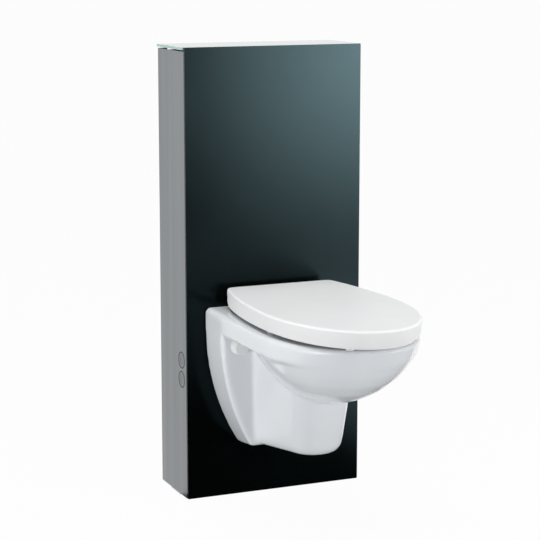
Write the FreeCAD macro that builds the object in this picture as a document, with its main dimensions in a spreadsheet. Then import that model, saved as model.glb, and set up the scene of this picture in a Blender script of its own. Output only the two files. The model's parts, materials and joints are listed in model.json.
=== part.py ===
import FreeCAD, Part
import math
import os
import re

import Sketcher

# Wall hung toilet on a slim cistern cabinet, in millimetres
# X runs to the right, Y to the wall behind and Z up
# The origin lies on the floor under the middle of the cabinet

doc = FreeCAD.newDocument("Toilet")
sheet = doc.addObject("Spreadsheet::Sheet", "Sizes")

SIZES = {
    # Cabinet skin
    "cabinet_width": 420,
    "cabinet_height": 1010,
    "cabinet_depth": 168,
    "glass_thickness": 6,
    "glass_corner": 3,
    "cover_thickness": 6,
    "cover_overhang": 3,
    "cover_joint": 3,
    "floor_gap": 4,
    "panel_thickness": 2,
    "panel_return": 22,
    "angle_leg": 30,
    "angle_wall": 3,
    "pad_size": 16,
    "pad_inset": 63,
    # Frame inside
    "tube_size": 40,
    "tube_wall": 3,
    "floor_rail_depth": 60,
    "floor_rail_wall": 4,
    "floor_rail_lip": 25,
    "anchor_radius": 5.5,
    "floor_anchor_inset": 28,
    "floor_anchor_row": 26,
    "shelf_front": 55,
    "shelf_back": 45,
    "shelf_lip": 25,
    "bearer_height": 52,
    "bearer_above_bolt": 14,
    "bearer_wall": 4,
    "waste_rail_height": 20,
    "waste_rail_depth": 30,
    "waste_rail_drop": 62,
    "bracket_width": 44,
    "bracket_height": 56,
    "bracket_wall": 4,
    "bracket_drop": 75,
    # Cistern and pipes
    "cistern_side_room": 9,
    "cistern_room": 41,
    "cistern_front": 62,
    "cistern_back": 50,
    "cistern_corner": 18,
    "groove_height": 12,
    "groove_depth": 5,
    "neck_radius": 26,
    "neck_length": 20,
    "flush_radius": 22.5,
    "flush_wall": 2.5,
    "flush_bend": 45,
    "flush_drop": 30.7,
    "flush_offset": 5,
    "nut_radius": 34,
    "nut_height": 30,
    "nut_floor": 8,
    "water_inlet_radius": 10.5,
    "water_inlet_inset": 39,
    "water_inlet_drop": 60,
    "water_inlet_end": 8,
    "water_collar_radius": 16,
    "water_collar_length": 6,
    "waste_radius": 45,
    "waste_collar": 50,
    "waste_wall": 4,
    "waste_shoulder": 25,
    "waste_collar_start": 12,
    "waste_end": 3,
    "pipe_entry": 34,
    "seal_clearance": 0.3,
    "seal_length": 24,
    "seal_start": 5,
    "clip_wall": 4,
    "clip_width": 24,
    # Pan fixing
    "bolt_spread": 264,
    "bolt_drop": 70,
    "bolt_radius": 6,
    "bolt_clearance": 2,
    "bolt_tail": 16,
    "nut_across": 10.4,
    "nut_thickness": 10,
    "washer_radius": 14,
    "washer_thickness": 2.5,
    "cap_radius": 17,
    "cap_wall": 2.2,
    "cap_length": 24,
    "cap_taper": 3,
    "mat_thickness": 3,
    "mat_margin": 4,
    # Pan
    "pan_width": 336,
    "pan_projection": 540,
    "rim_height": 440,
    "rim_depth": 44,
    "rim_rake": 26,
    "rim_straight": 306,
    "rim_edge": 6,
    "root_depth": 107,
    "root_foot": 126,
    "root_foot_width": 180,
    "root_shoulder_drop": 48,
    "root_corner": 16,
    "root_rise": 17,
    "bowl_keel": 276,
    "bowl_front": 261,
    "bowl_back": 200,
    "bowl_depth": 164,
    "bowl_curve": 1.73,
    "bowl_wall": 20,
    "trap_width": 188,
    "trap_front_width": 161,
    "trap_front": 323,
    "trap_foot": 148,
    "trap_draft": 21.5,
    "trap_round": 38,
    "trap_side_round": 0.25,
    "trap_rake": 2,
    "trap_top_drop": 40,
    "trap_nose": 1.03,
    "mouth_width": 232,
    "mouth_back": 176,
    "mouth_front": 496,
    "well_width": 84,
    "well_length": 90,
    "well_centre": 205,
    "well_floor": 176,
    "well_mouth_width": 130,
    "well_mouth_length": 136,
    "well_mouth_centre": 228,
    "well_top_drop": 100,
    "inlet_rise": 34,
    "outlet_drop": 113,
    "bore_clearance": 5.5,
    "bore_depth": 40,
    "flush_way_radius": 16,
    # Seat and lid
    "lid_side_inset": 8,
    "lid_back_width": 252,
    "lid_overhang": 27,
    "lid_back": 27,
    "lid_rise": 45,
    "lid_gap": 5.5,
    "lid_wall": 4,
    "lid_roof": 5.5,
    "lid_edge": 4,
    "lid_corner": 24,
    "lid_corner_ease": 6,
    "lid_heel": 10,
    "seat_clear": 6.5,
    "seat_thickness": 18,
    "seat_gap": 6,
    "seat_back": 72,
    "seat_edge": 5,
    "seat_opening": 214,
    "seat_opening_back": 196,
    "seat_opening_front": 484,
    "hinge_spread": 155,
    "hinge_setback": 42,
    "hinge_rise": 27,
    "hinge_radius": 9,
    "pin_radius": 4,
    "pin_clearance": 0.1,
    "post_width": 15,
    "lug_width": 16,
    "lug_play": 0.4,
    "lug_arm": 12,
    "buffer_radius": 8,
    "buffer_side": 136,
    "buffer_side_reach": 300,
    "buffer_nose": 58,
    "buffer_nose_reach": 512,
    "buffer_play": 0.5,
    # Flush buttons
    "button_radius": 16.5,
    "button_gap": 1,
    "button_thickness": 7,
    "button_setback": 34,
    "full_button_level": 317,
    "half_button_level": 273,
    "stem_radius": 6,
    "stem_length": 24,
    "stem_clearance": 0.1,
    "housing_wall": 3,
    "housing_length": 22,
}
for row, (alias, value) in enumerate(SIZES.items(), 1):
    sheet.set(f"A{row}", alias)
    sheet.set(f"B{row}", str(value))
    sheet.setAlias(f"B{row}", alias)
doc.recompute()

# Places that follow from the sizes, written as expressions on the sheet
FRONT = "(-cabinet_depth/2)"
BACK = "(cabinet_depth/2)"
GLASS_BACK = "(glass_thickness - cabinet_depth/2)"
RETURN_BACK = "(glass_thickness + panel_thickness - cabinet_depth/2)"
SIDE = "(cabinet_width/2)"
INNER = "(cabinet_width/2 - panel_thickness)"
TUBE_IN = "(cabinet_width/2 - panel_thickness - tube_size)"
COVER_UNDER = "(cabinet_height - cover_thickness)"
FRAME_TOP = "(cabinet_height - cover_thickness - cover_joint)"
PAN_BACK = "(-cabinet_depth/2 - mat_thickness)"
ROOT_FRONT = "(-cabinet_depth/2 - root_depth)"
ROOT_SHOULDER = "(rim_height - root_shoulder_drop)"
RIM_UNDER = "(rim_height - rim_depth)"
TRAP_TOP = "(rim_height - trap_top_drop)"
WELL_TOP = "(rim_height - well_top_drop)"
BOLT = "(rim_height - bolt_drop)"
INLET = f"({BOLT} + inlet_rise)"
OUTLET = f"({BOLT} - outlet_drop)"
SHELF = f"({INLET} + flush_bend + flush_drop + neck_length + seal_clearance)"
CISTERN_HALF = f"({TUBE_IN} - cistern_side_room)"
CISTERN_TOP = f"({FRAME_TOP} - tube_size - cistern_room)"
BRACKET = f"({FRAME_TOP} - bracket_drop)"
LID_WIDTH = "(pan_width - 2*lid_side_inset)"
LID_FRONT = "(pan_projection + lid_overhang)"
LID_LOW = "(rim_height + lid_gap)"
LID_TOP = "(rim_height + lid_rise)"
LID_ROOF = f"({LID_TOP} - lid_roof)"
LID_TAIL = f"((rim_straight - lid_back)/sqrt(1 - (lid_back_width/{LID_WIDTH})^2))"
SEAT_LOW = "(rim_height + seat_gap)"
SEAT_TOP = "(rim_height + seat_gap + seat_thickness)"
HINGE_Y = "(-cabinet_depth/2 - hinge_setback)"
HINGE_LEVEL = "(rim_height + hinge_rise)"
PIPE_END = "(-cabinet_depth/2 - pipe_entry)"
BUTTON_Y = "(button_setback - cabinet_depth/2)"

WORD = re.compile(r"[a-z][a-z_]+")
TURNS = {
    "X": FreeCAD.Rotation(FreeCAD.Vector(0, 1, 0), 90),
    "Y": FreeCAD.Rotation(FreeCAD.Vector(1, 0, 0), -90),
    "Z": FreeCAD.Rotation(),
    "quarter": FreeCAD.Rotation(FreeCAD.Vector(0, 0, 1), 90),
}


def tie(expression):
    """The expression as another object has to write it, with the sheet named before each alias."""
    def named(found):
        return "Sizes." + found.group() if found.group() in SIZES else found.group()

    return WORD.sub(named, expression)


def size(expression):
    """What an expression on the sheet comes to now."""
    return float(sheet.evalExpression(expression))


def bind(item, **ties):
    for name, expression in ties.items():
        item.setExpression(name, tie(expression))
    return item


def place(item, x, y, z, turn="Z"):
    item.Placement = FreeCAD.Placement(FreeCAD.Vector(), TURNS[turn])
    for name, expression in zip("xyz", (x, y, z)):
        item.setExpression(f"Placement.Base.{name}", tie(expression))
    return item


def reach(low, high):
    """The distance from one place to a higher one."""
    return f"({high}) - ({low})"


def middle(expression):
    """A span of that half width on both sides of the middle."""
    return f"-({expression})", expression


def block(name, x, y, z):
    item = doc.addObject("Part::Box", name)
    bind(item, Length=reach(*x), Width=reach(*y), Height=reach(*z))
    return place(item, x[0], y[0], z[0])


def rod(name, radius, axis, at, span):
    """A cylinder along one axis; at holds the two other places in the order of the axes."""
    item = doc.addObject("Part::Cylinder", name)
    bind(item, Radius=radius, Height=reach(*span))
    spots = list(at)
    spots.insert("XYZ".index(axis), span[0])
    return place(item, *spots, axis)


def fuse(name, *items):
    item = doc.addObject("Part::MultiFuse", name)
    item.Shapes = list(items)
    item.Refine = True
    return item


def cut(name, base, *tools):
    item = doc.addObject("Part::Cut", name)
    item.Base = base
    item.Tool = tools[0] if len(tools) == 1 else fuse(name + "_tools", *tools)
    return item


def both(name, first, second):
    item = doc.addObject("Part::Common", name)
    item.Base = first
    item.Tool = second
    return item


def mirrored(name, source):
    """The same piece on the other side of the middle plane."""
    item = doc.addObject("Part::Mirroring", name)
    item.Source = source
    item.Normal = FreeCAD.Vector(1, 0, 0)
    return item


def rounded(name, base, radius, choose):
    """Round the edges that the test picks out."""
    doc.recompute()
    item = doc.addObject("Part::Fillet", name)
    item.Base = base
    item.Edges = [(number, size(radius), size(radius))
                  for number, edge in enumerate(base.Shape.Edges, 1) if choose(edge.BoundBox)]
    return item


def near(value, expression):
    return abs(value - size(expression)) < 1e-4


def oval(name, half_width, half_length, y, z):
    """An ellipse lying flat, longer along Y than along X."""
    item = doc.addObject("Part::Ellipse", name)
    bind(item, MajorRadius=half_length, MinorRadius=half_width)
    return place(item, "0", y, z, "quarter")


def oval_prism(name, half_width, half_length, y, z):
    item = doc.addObject("Part::Extrusion", name)
    item.Base = oval(name + "_outline", half_width, half_length, y, z[0])
    item.DirMode = "Custom"
    item.Dir = FreeCAD.Vector(0, 0, 1)
    item.Solid = True
    return bind(item, LengthFwd=reach(*z))


def loft(name, *sections):
    item = doc.addObject("Part::Loft", name)
    item.Sections = list(sections)
    item.Solid = True
    item.Ruled = True
    return item


def outline(body, name, role, corners, offset="0", arcs=None):
    """A closed sketch through the corners, anticlockwise; arcs gives the radius of each side that bulges."""
    arcs = arcs or {}
    sketch = body.newObject("Sketcher::SketchObject", name)
    plane = next(feature for feature in body.Origin.OriginFeatures if feature.Role == role)
    sketch.AttachmentSupport = [(plane, "")]
    sketch.MapMode = "FlatFace"
    sketch.setExpression("AttachmentOffset.Base.z", tie(offset))
    points = [FreeCAD.Vector(size(x), size(y), 0) for x, y in corners]
    following = points[1:] + points[:1]
    for side, (first, second) in enumerate(zip(points, following)):
        if side not in arcs:
            sketch.addGeometry(Part.LineSegment(first, second))
            continue
        radius = size(arcs[side])
        chord = second - first
        inward = FreeCAD.Vector(-chord.y, chord.x, 0).normalize()
        centre = (first + second) * 0.5 + inward * math.sqrt(radius ** 2 - (chord.Length / 2) ** 2)
        angles = [math.atan2(point.y - centre.y, point.x - centre.x) for point in (first, second)]
        circle = Part.Circle(centre, FreeCAD.Vector(0, 0, 1), radius)
        sketch.addGeometry(Part.ArcOfCircle(circle, *angles))
    for side in range(len(points)):
        sketch.addConstraint(Sketcher.Constraint("Coincident", side, 2, (side + 1) % len(points), 1))
    rules = [("Radius", (side,), radius) for side, radius in arcs.items()]
    for side, (x, y) in enumerate(corners):
        rules += [("DistanceX", (-1, 1, side, 1), x), ("DistanceY", (-1, 1, side, 1), y)]
    for kind, where, expression in rules:
        number = sketch.addConstraint(Sketcher.Constraint(kind, *where, size(expression)))
        sketch.setExpression(f"Constraints[{number}]", tie(expression))
    return sketch


def padded(name, role, corners, length, offset="0", arcs=None):
    """A body with one padded outline."""
    body = doc.addObject("PartDesign::Body", name)
    pad = body.newObject("PartDesign::Pad", name + "_pad")
    pad.Profile = outline(body, name + "_outline", role, corners, offset, arcs)
    bind(pad, Length=length)
    return body


def turned(name, corners, axis, x, y, z):
    """A body turned about one axis; each corner is a radius and a place along the axis."""
    body = doc.addObject("PartDesign::Body", name)
    sketch = outline(body, name + "_outline", "XZ_Plane", corners)
    turn = body.newObject("PartDesign::Revolution", name + "_turn")
    turn.Profile = sketch
    turn.ReferenceAxis = (sketch, ["V_Axis"])
    turn.Angle = 360
    return place(body, x, y, z, axis)


def ring(inner, outer, low, high):
    return [(inner, low), (outer, low), (outer, high), (inner, high)]


# Frame of square tube and folded rails, standing in a floor rail
floor_rail = cut(
    "floor_rail",
    block("floor_rail_bar", middle(INNER), middle("floor_rail_depth/2"), ("0", "floor_rail_lip")),
    block("floor_rail_trough", middle(SIDE), middle("floor_rail_depth/2 - floor_rail_wall"),
          ("floor_rail_wall", "2*floor_rail_lip")),
    *[rod(f"floor_anchor_{number}", "anchor_radius", "Z", (x, y), ("-floor_rail_wall", "2*floor_rail_wall"))
      for number, (x, y) in enumerate((x, y) for x in middle(f"({TUBE_IN} - floor_anchor_inset)")
                                      for y in middle("floor_anchor_row/2"))])

tube_x = (f"-{INNER}", f"-{TUBE_IN}")
left_upright = cut(
    "left_upright",
    block("left_tube", tube_x, middle("tube_size/2"), ("floor_rail_wall", FRAME_TOP)),
    block("left_tube_bore", (f"tube_wall - {INNER}", f"-{TUBE_IN} - tube_wall"),
          middle("tube_size/2 - tube_wall"), ("0", "cabinet_height")))
right_upright = mirrored("right_upright", left_upright)

top_rail = cut(
    "top_rail",
    block("top_rail_bar", middle(TUBE_IN), middle("tube_size/2"), (f"{FRAME_TOP} - tube_size", FRAME_TOP)),
    block("top_rail_trough", middle(SIDE), middle("tube_size/2 - tube_wall"),
          (f"{FRAME_TOP} - 2*tube_size", f"{FRAME_TOP} - tube_wall")))

cistern_shelf = cut(
    "cistern_shelf",
    block("shelf_bar", middle(TUBE_IN), ("-shelf_front", "shelf_back"), (f"{SHELF} - shelf_lip", SHELF)),
    block("shelf_trough", middle(SIDE), ("tube_wall - shelf_front", "shelf_back - tube_wall"),
          (f"{SHELF} - 2*shelf_lip", f"{SHELF} - tube_wall")),
    rod("shelf_hole", "nut_radius + button_gap", "Z", ("0", "-flush_offset"),
        (f"{SHELF} - 2*shelf_lip", f"2*{SHELF}")))

BEARER_TOP = f"({BOLT} + bearer_above_bolt)"
bolt_x = "-bolt_spread/2"
pan_bearer = cut(
    "pan_bearer",
    block("bearer_bar", middle(TUBE_IN), middle("tube_size/2"), (f"{BEARER_TOP} - bearer_height", BEARER_TOP)),
    block("bearer_trough", middle(SIDE), ("bearer_wall - tube_size/2", "tube_size"),
          (f"{BEARER_TOP} - bearer_height + bearer_wall", f"{BEARER_TOP} - bearer_wall")),
    *[rod(f"bearer_hole_{number}", "bolt_radius + seal_clearance", "Y", (x, BOLT), ("-tube_size", "0"))
      for number, x in enumerate(middle("bolt_spread/2"))])

WASTE_RAIL_TOP = f"({OUTLET} - waste_rail_drop)"
waste_bearer = cut(
    "waste_bearer",
    block("waste_rail_bar", middle(TUBE_IN), middle("waste_rail_depth/2"),
          (f"{WASTE_RAIL_TOP} - waste_rail_height", WASTE_RAIL_TOP)),
    block("waste_rail_bore", middle(SIDE), middle("waste_rail_depth/2 - tube_wall"),
          (f"{WASTE_RAIL_TOP} - waste_rail_height + tube_wall", f"{WASTE_RAIL_TOP} - tube_wall")))

bracket_z = (f"{BRACKET} - bracket_height/2", f"{BRACKET} + bracket_height/2")
left_wall_bracket = cut(
    "left_wall_bracket",
    fuse("left_bracket_angle",
         block("left_bracket_arm", (f"-{TUBE_IN}", f"bracket_wall - {TUBE_IN}"), ("-tube_size/2", BACK),
               bracket_z),
         block("left_bracket_foot", (f"-{TUBE_IN}", f"bracket_width - {TUBE_IN}"),
               (f"{BACK} - bracket_wall", BACK), bracket_z)),
    rod("left_bracket_hole", "anchor_radius", "Y", (f"bracket_width/2 - {TUBE_IN}", BRACKET),
        ("0", f"2*{BACK}")))
right_wall_bracket = mirrored("right_wall_bracket", left_wall_bracket)

# Cistern, a moulded tank with grooves across its back and a threaded neck below
GROOVES = 4
tank = rounded(
    "tank_rounded",
    block("tank_block", middle(CISTERN_HALF), ("-cistern_front", "cistern_back"), (SHELF, CISTERN_TOP)),
    "cistern_corner", lambda box: True)
groove_levels = [f"{SHELF} + {number}*({CISTERN_TOP} - {SHELF})/{GROOVES + 1}"
                 for number in range(1, GROOVES + 1)]
cistern = cut(
    "cistern",
    fuse("tank_and_neck", tank,
         rod("tank_neck", "neck_radius", "Z", ("0", "-flush_offset"),
             (f"{SHELF} - neck_length", f"{SHELF} + cistern_corner"))),
    *[block(f"tank_groove_{number}", middle(SIDE), ("cistern_back - groove_depth", "2*cistern_back"),
            (f"{level} - groove_height/2", f"{level} + groove_height/2"))
      for number, level in enumerate(groove_levels)])

nut_bore, neck_bore = "flush_radius + seal_clearance", "neck_radius + seal_clearance"
flush_nut = turned(
    "flush_nut",
    [(nut_bore, "-nut_height"), ("nut_radius", "-nut_height"), ("nut_radius", "-seal_clearance"),
     (neck_bore, "-seal_clearance"), (neck_bore, "nut_floor - nut_height"),
     (nut_bore, "nut_floor - nut_height")],
    "Z", "0", "-flush_offset", SHELF)


def flush_form(name, radius, overrun):
    """The run of the flush pipe, down from the cistern and forward into the pan."""
    bend = doc.addObject("Part::Torus", name + "_bend")
    bind(bend, Radius1="flush_bend", Radius2=radius)
    bend.Angle3 = 90
    place(bend, "0", "-flush_offset - flush_bend", f"{INLET} + flush_bend", "X")
    return fuse(
        name, bend,
        rod(name + "_drop", radius, "Z", ("0", "-flush_offset"),
            (f"{INLET} + flush_bend", f"{INLET} + flush_bend + flush_drop + {overrun}")),
        rod(name + "_run", radius, "Y", ("0", INLET),
            (f"{PIPE_END} - {overrun}", "-flush_offset - flush_bend")))


flush_pipe = cut("flush_pipe", flush_form("flush_outside", "flush_radius", "0"),
                 flush_form("flush_inside", "flush_radius - flush_wall", "neck_length"))

inlet_at = (f"{CISTERN_HALF} - water_inlet_inset", f"{CISTERN_TOP} - water_inlet_drop")
water_inlet = fuse(
    "water_inlet",
    rod("water_nipple", "water_inlet_radius", "Y", inlet_at, ("cistern_back", f"{BACK} - water_inlet_end")),
    rod("water_collar", "water_collar_radius", "Y", inlet_at,
        ("cistern_back", "cistern_back + water_collar_length")))

waste_inner = "waste_radius - waste_wall"
waste_connector = turned(
    "waste_connector",
    [(waste_inner, PIPE_END), ("waste_radius", PIPE_END), ("waste_radius", f"{FRONT} + waste_collar_start"),
     ("waste_collar", f"{FRONT} + waste_collar_start"), ("waste_collar", "waste_shoulder"),
     ("waste_radius", "waste_shoulder"), ("waste_radius", f"{BACK} - waste_end"),
     (waste_inner, f"{BACK} - waste_end")],
    "Y", "0", "0", OUTLET)

waste_clip = cut(
    "waste_clip",
    fuse("clip_form",
         rod("clip_ring", "waste_collar + seal_clearance + clip_wall", "Y", ("0", OUTLET),
             middle("clip_width/2")),
         block("clip_post", middle("clip_width/2"), middle("clip_width/2"), (WASTE_RAIL_TOP, OUTLET))),
    rod("clip_bore", "waste_collar + seal_clearance", "Y", ("0", OUTLET), middle("clip_width")))

SEAL_SPAN = ("-seal_length - seal_start", "-seal_start")
waste_seal = turned(
    "waste_seal",
    ring("waste_radius + seal_clearance", "waste_radius + bore_clearance - seal_clearance", *SEAL_SPAN),
    "Y", "0", PAN_BACK, OUTLET)
inlet_seal = turned(
    "inlet_seal",
    ring("flush_radius + seal_clearance", "flush_radius + bore_clearance - seal_clearance", *SEAL_SPAN),
    "Y", "0", PAN_BACK, INLET)


# Pan fixing, threaded rods from the bearer through the glass and the root of the pan
def hexagon(name, y):
    item = doc.addObject("Part::Prism", name)
    item.Polygon = 6
    bind(item, Circumradius="nut_across", Height="nut_thickness")
    return place(item, bolt_x, y, BOLT, "Y")


left_pan_rod = fuse(
    "left_pan_rod",
    rod("left_rod_bar", "bolt_radius", "Y", (bolt_x, BOLT),
        (f"{ROOT_FRONT} - bolt_tail", "tube_size/2")),
    hexagon("left_rod_back_nut", "bearer_wall - tube_size/2"),
    hexagon("left_rod_front_nut", "-tube_size/2 - nut_thickness"),
    rod("left_rod_washer", "washer_radius", "Y", (bolt_x, BOLT),
        (f"{ROOT_FRONT} - washer_thickness", ROOT_FRONT)),
    hexagon("left_rod_pan_nut", f"{ROOT_FRONT} - washer_thickness - nut_thickness"))
right_pan_rod = mirrored("right_pan_rod", left_pan_rod)

cap_inner = "cap_radius - cap_wall"
left_fixing_cap = turned(
    "left_fixing_cap",
    [("0", "-cap_length"), ("cap_radius - cap_taper", "-cap_length"), ("cap_radius", "0"), (cap_inner, "0"),
     (cap_inner + " - cap_taper", "cap_wall - cap_length"), ("0", "cap_wall - cap_length")],
    "Y", bolt_x, ROOT_FRONT, BOLT)
right_fixing_cap = mirrored("right_fixing_cap", left_fixing_cap)


# Pan, a casting of four forms: the rim, the root on the cabinet, the bowl and the trap below it
def root_corners(margin):
    half, foot = f"pan_width/2 - {margin}", f"root_foot_width/2 - {margin}"
    low, top = f"root_foot + {margin}", f"rim_height - rim_edge - {margin}"
    return [(f"-({foot})", low), (foot, low), (half, ROOT_SHOULDER), (half, top), (f"-({half})", top),
            (f"-({half})", ROOT_SHOULDER)]


def root_arcs(margin):
    width, rise = "(pan_width - root_foot_width)", f"({ROOT_SHOULDER} - root_foot - {margin})"
    radius = f"({width}^2/4 + {rise}^2)/{width}"
    return {1: radius, 5: radius}


root_block = padded("root_block", "XZ_Plane", root_corners("0"), "root_depth - mat_thickness",
                    "cabinet_depth/2 + mat_thickness", root_arcs("0"))
root_soft = rounded(
    "root_soft", root_block, "root_corner",
    lambda box: near(box.ZMin, "root_foot") and near(box.ZMax, "root_foot") and box.XLength < 1e-4)
root_nose = f"{ROOT_FRONT} - root_corner"
root_form = cut("root_form", root_soft, padded(
    "root_wedge", "YZ_Plane",
    [(root_nose, "root_foot - root_corner"), (FRONT, "root_foot - root_corner"), (FRONT, "root_foot"),
     (root_nose, "root_foot + root_rise*(1 + root_corner/root_depth)")], "2*pan_width", "-pan_width"))

rim_y = f"({FRONT} - rim_straight)"
rim_nose = both(
    "rim_nose",
    loft("rim_nose_loft",
         oval("rim_nose_low", "pan_width/2", "pan_projection - rim_straight - rim_rake", rim_y, RIM_UNDER),
         oval("rim_nose_high", "pan_width/2", "pan_projection - rim_straight", rim_y, "rim_height - rim_edge"),
         oval("rim_nose_top", "pan_width/2 - rim_edge", "pan_projection - rim_straight - rim_edge", rim_y,
              "rim_height")),
    block("rim_nose_half", middle("pan_width"), (f"{FRONT} - 2*pan_projection", rim_y), ("0", "2*rim_height")))
rim_deck = padded(
    "rim_deck", "XZ_Plane",
    [("-pan_width/2", RIM_UNDER), ("pan_width/2", RIM_UNDER), ("pan_width/2", "rim_height - rim_edge"),
     ("pan_width/2 - rim_edge", "rim_height"), ("rim_edge - pan_width/2", "rim_height"),
     ("-pan_width/2", "rim_height - rim_edge")],
    "rim_straight - mat_thickness", "cabinet_depth/2 + mat_thickness")


def bowl_section(name, depth, top, share, wall):
    """One oval of the bowl; share runs from nothing at the rim to one at the keel."""
    scale = f"(1 - {share}^bowl_curve)^(1/bowl_curve)"
    front, back = f"(bowl_front - {wall})", f"(bowl_back - {wall})"
    return oval(f"{name}_{int(share * 100)}", f"(pan_width/2 - {wall})*{scale}",
                f"({front} + {back})/2*{scale}", f"{FRONT} - bowl_keel - ({front} - {back})/2*{scale}",
                f"{top} - {depth}*{share}")


BOWL_SHARES = (0.1, 0.25, 0.4, 0.55, 0.7, 0.82, 0.92, 0.98)
bowl_form = loft("bowl_form", *[bowl_section("bowl_oval", "bowl_depth", "rim_height", share, "0")
                                for share in BOWL_SHARES])


def trap_corners(half, front_half, front):
    nose = f"{FRONT} - {front} + {front_half}*(trap_nose - sqrt(trap_nose^2 - 1))"
    heel = f"{FRONT} - root_depth/2"
    return [(f"-({front_half})", nose), (front_half, nose), (half, ROOT_FRONT), (half, heel),
            (f"-({half})", heel), (f"-({half})", ROOT_FRONT)]


trap_body = doc.addObject("PartDesign::Body", "trap_body")
trap_sections = []
for number, share in enumerate((0, 0.16, 0.47, 1)):
    curl = f"(trap_round*(1 - sqrt(1 - {1 - share}^2)))"
    inset = f"(trap_draft + {curl}/trap_rake)"
    half_front = f"(trap_front_width/2 - {inset})"
    trap_sections.append(outline(
        trap_body, f"trap_section_{number}", "XY_Plane",
        trap_corners(f"trap_width/2 - {curl}*trap_side_round", half_front, f"(trap_front - {inset}*trap_rake)"),
        f"trap_foot + trap_round*{share}", {0: f"{half_front}*trap_nose"}))
trap_sections.append(outline(
    trap_body, "trap_section_top", "XY_Plane",
    trap_corners("trap_width/2", "(trap_front_width/2)", "trap_front"), TRAP_TOP,
    {0: "trap_front_width/2*trap_nose"}))
trap_form = trap_body.newObject("PartDesign::AdditiveLoft", "trap_loft")
trap_form.Profile = trap_sections[0]
trap_form.Sections = trap_sections[1:]
trap_form.Ruled = True

DISH_SHARES = (0.18, 0.3, 0.42, 0.56, 0.7, 0.82, 0.92, 0.98)
mouth_length = "(mouth_front - mouth_back)/2"
mouth_y = f"{FRONT} - (mouth_front + mouth_back)/2"
hollow = fuse(
    "pan_hollow",
    oval_prism("pan_mouth", "mouth_width/2", mouth_length, mouth_y, (RIM_UNDER, "rim_height + rim_depth")),
    loft("pan_dish", *[bowl_section("dish_oval", "(bowl_depth - bowl_wall)", "rim_height", share, "bowl_wall")
                       for share in DISH_SHARES]),
    loft("pan_well",
         oval("well_low", "well_width/2", "well_length/2", f"{FRONT} - well_centre", "well_floor"),
         oval("well_high", "well_mouth_width/2", "well_mouth_length/2", f"{FRONT} - well_mouth_centre",
              WELL_TOP)))
bores = [
    rod("inlet_bore", "flush_radius + bore_clearance", "Y", ("0", INLET),
        (f"{PAN_BACK} - bore_depth", FRONT)),
    rod("inlet_way", "flush_way_radius", "Y", ("0", INLET), (ROOT_FRONT, FRONT)),
    rod("outlet_bore", "waste_radius + bore_clearance", "Y", ("0", OUTLET),
        (f"{PAN_BACK} - bore_depth", FRONT))]
bores += [rod(f"pan_bolt_bore_{number}", "bolt_radius + bolt_clearance", "Y", (x, BOLT),
              (f"{ROOT_FRONT} - bolt_clearance", FRONT)) for number, x in enumerate(middle("bolt_spread/2"))]
pan = cut("pan", fuse("pan_solid", rim_deck, rim_nose, root_form, bowl_form, trap_body), hollow, *bores)

mat_holes = [
    rod("mat_inlet", "flush_radius + bore_clearance", "Y", ("0", INLET), (f"2*{PAN_BACK}", "0")),
    rod("mat_outlet", "waste_radius + bore_clearance", "Y", ("0", OUTLET), (f"2*{PAN_BACK}", "0"))]
mat_holes += [rod(f"mat_bolt_{number}", "bolt_radius + bolt_clearance", "Y", (x, BOLT),
                  (f"2*{PAN_BACK}", "0")) for number, x in enumerate(middle("bolt_spread/2"))]
sound_mat = cut(
    "sound_mat",
    padded("mat_sheet", "XZ_Plane", root_corners("mat_margin"), "mat_thickness", "cabinet_depth/2",
           root_arcs("mat_margin")),
    *mat_holes)


# Seat ring and lid share one plan, a half oval in front and a slower oval cut straight behind
def plan_form(name, inset, back, z, edge=None):
    """The plan raised between two heights, with a bevel round the top where an edge is given."""
    halves = []
    for end, length, span in (("front", f"({LID_FRONT} - rim_straight)", (f"{FRONT} - 2*{LID_FRONT}", rim_y)),
                              ("rear", LID_TAIL, (rim_y, f"{FRONT} - {back}"))):
        half, reach_out = f"{LID_WIDTH}/2 - {inset}", f"{length} - {inset}"
        if edge is None:
            rise = oval_prism(f"{name}_{end}_rise", half, reach_out, rim_y, z)
        else:
            steps = ((z[0], "0"), (f"{z[1]} - {edge}", "0"), (z[1], edge))
            rise = loft(f"{name}_{end}_rise", *[
                oval(f"{name}_{end}_{number}", f"{half} - {step}", f"{reach_out} - {step}", rim_y, height)
                for number, (height, step) in enumerate(steps)])
        keep = block(f"{name}_{end}_half", middle(LID_WIDTH), span, ("0", f"2*{LID_TOP}"))
        halves.append(both(f"{name}_{end}", rise, keep))
    return fuse(name, *halves)


def lug(name, low, high, arm_y, arm_z):
    """A knuckle about the hinge line with an arm to the piece that it carries."""
    return fuse(name, rod(name + "_knuckle", "hinge_radius", "X", (HINGE_Y, HINGE_LEVEL), (low, high)),
                block(name + "_arm", (low, high), arm_y, arm_z))


def pair(name, maker):
    """A piece on the left and its twin on the right."""
    left = maker(name + "_left")
    return left, mirrored(name + "_right", left)


POST_LEFT = "(-hinge_spread/2 - post_width/2)"
POST_RIGHT = "(post_width/2 - hinge_spread/2)"
seat_lugs = pair("seat_lug", lambda name: lug(
    name, f"{POST_RIGHT} + lug_play", f"{POST_RIGHT} + lug_play + lug_width",
    (f"{FRONT} - seat_back - lug_arm", HINGE_Y), (f"{SEAT_TOP} - lug_arm", SEAT_TOP)))
lid_lugs = pair("lid_lug", lambda name: lug(
    name, f"{POST_LEFT} - lug_play - lug_width", f"{POST_LEFT} - lug_play",
    (f"{HINGE_Y} - hinge_radius", f"{HINGE_Y} + hinge_radius"), (HINGE_LEVEL, f"{LID_ROOF} + lid_roof/2")))
pin_bores = [rod(name, "pin_radius + pin_clearance", "X", (HINGE_Y, HINGE_LEVEL), middle(f"{LID_WIDTH}/2"))
             for name in ("seat_pin_bore", "lid_pin_bore")]

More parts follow.
